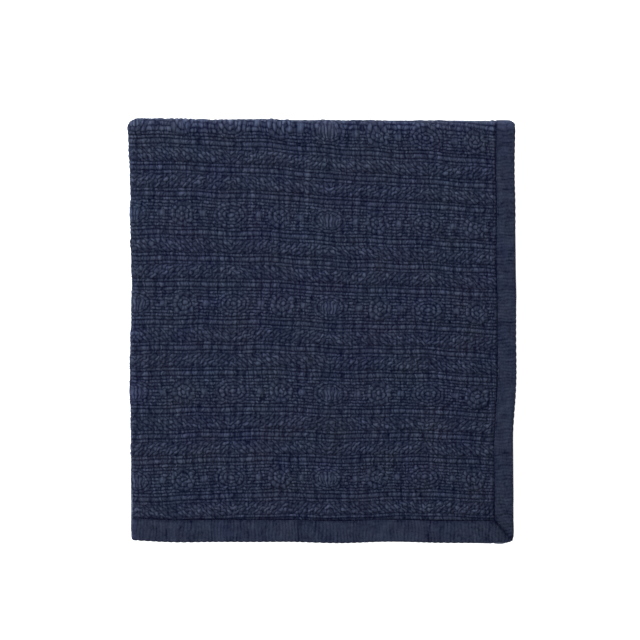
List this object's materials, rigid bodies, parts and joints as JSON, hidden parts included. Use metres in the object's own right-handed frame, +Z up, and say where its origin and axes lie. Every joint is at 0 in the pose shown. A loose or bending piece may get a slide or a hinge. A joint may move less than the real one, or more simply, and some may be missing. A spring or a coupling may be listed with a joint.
{
  "type": "quilted throw, folded",
  "caption": "Navy quilted throw with a mitred binding, folded in quarters across and thirds down into a flat stack of its own layers.",
  "frame": {"origin": "middle of the folded throw's outline, on the surface that it lies on", "axes": "+Z up out of the top layer; +X towards the bound edge on the right; +Y towards the rounded fold at the far side"},
  "size_m": [0.3872, 0.4248, 0.0396],
  "materials": {
    "quilted_cotton": "matt washed cotton, quilted in bands",
    "binding_cotton": "matt fine-ribbed cotton"
  },
  "bodies": {
    "root": {"quilted_panel": "quilted_cotton", "binding_right": "binding_cotton", "binding_near": "binding_cotton", "binding_right_under": "binding_cotton", "binding_far_under": "binding_cotton"}
  },
  "joints": []
}
